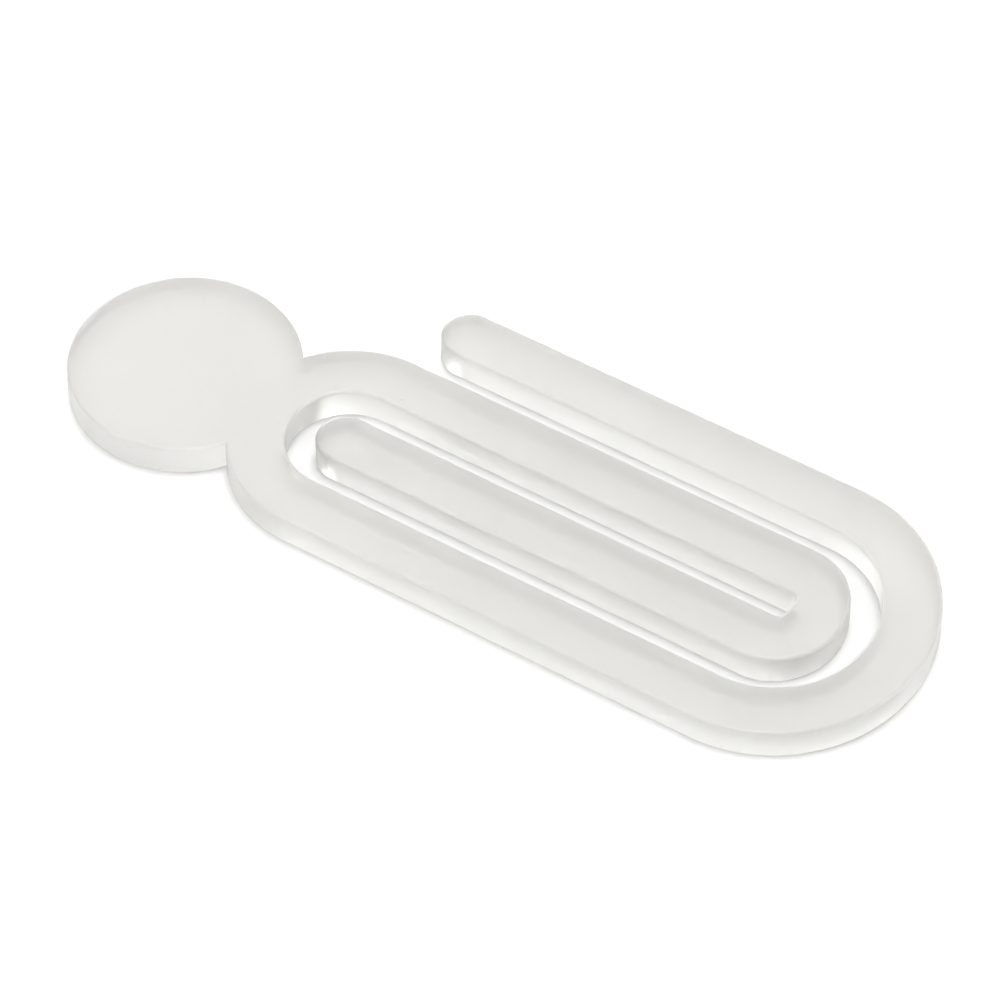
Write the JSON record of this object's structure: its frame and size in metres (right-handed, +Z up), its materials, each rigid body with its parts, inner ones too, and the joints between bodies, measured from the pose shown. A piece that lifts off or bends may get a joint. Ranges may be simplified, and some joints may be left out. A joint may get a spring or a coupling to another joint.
{
  "type": "flat plastic clip with thumb disc",
  "caption": "Flat spiral plastic clip with a round thumb disc: a sheet or lock of hair slides in between its springy inner tongue and its outer loop.",
  "frame": {"origin": "centre of the clip's footprint, on the surface that it lies on", "axes": "+X along the legs from the thumb disc to the outer bend, +Y across from the long leg to the outer arm, +Z up out of the flat clip"},
  "size_m": [0.0796, 0.0284, 0.003],
  "materials": {
    "milky_plastic": "satin, milky translucent, uncoloured"
  },
  "bodies": {
    "head": {"thumb_disc": "milky_plastic", "head_bend": "milky_plastic"},
    "outer_loop": {"long_leg": "milky_plastic", "outer_bend": "milky_plastic"},
    "outer_limb": {"outer_arm": "milky_plastic"},
    "tongue": {"tongue_leg": "milky_plastic", "tongue_bend": "milky_plastic"},
    "tongue_limb": {"tongue_arm": "milky_plastic"}
  },
  "joints": [
    {"name": "outer_loop_flex", "type": "hinge", "parent": "head", "child": "outer_loop", "pos_m": [-0.0071, -0.0117, 0.0015], "axis": [0, -1, 0], "range_deg": [-6, 6], "stiffness_Nm_per_rad": 0.8},
    {"name": "outer_arm_flex", "type": "hinge", "parent": "outer_loop", "child": "outer_limb", "pos_m": [0.0204, 0.0117, 0.0015], "axis": [0, 1, 0], "range_deg": [-8, 8], "stiffness_Nm_per_rad": 0.8},
    {"name": "tongue_flex", "type": "hinge", "parent": "head", "child": "tongue", "pos_m": [-0.0071, 0.0039, 0.0015], "axis": [0, -1, 0], "range_deg": [-12, 12], "stiffness_Nm_per_rad": 0.8},
    {"name": "tongue_arm_flex", "type": "hinge", "parent": "tongue", "child": "tongue_limb", "pos_m": [0.0204, -0.0039, 0.0015], "axis": [0, 1, 0], "range_deg": [-6, 6], "stiffness_Nm_per_rad": 0.8}
  ]
}
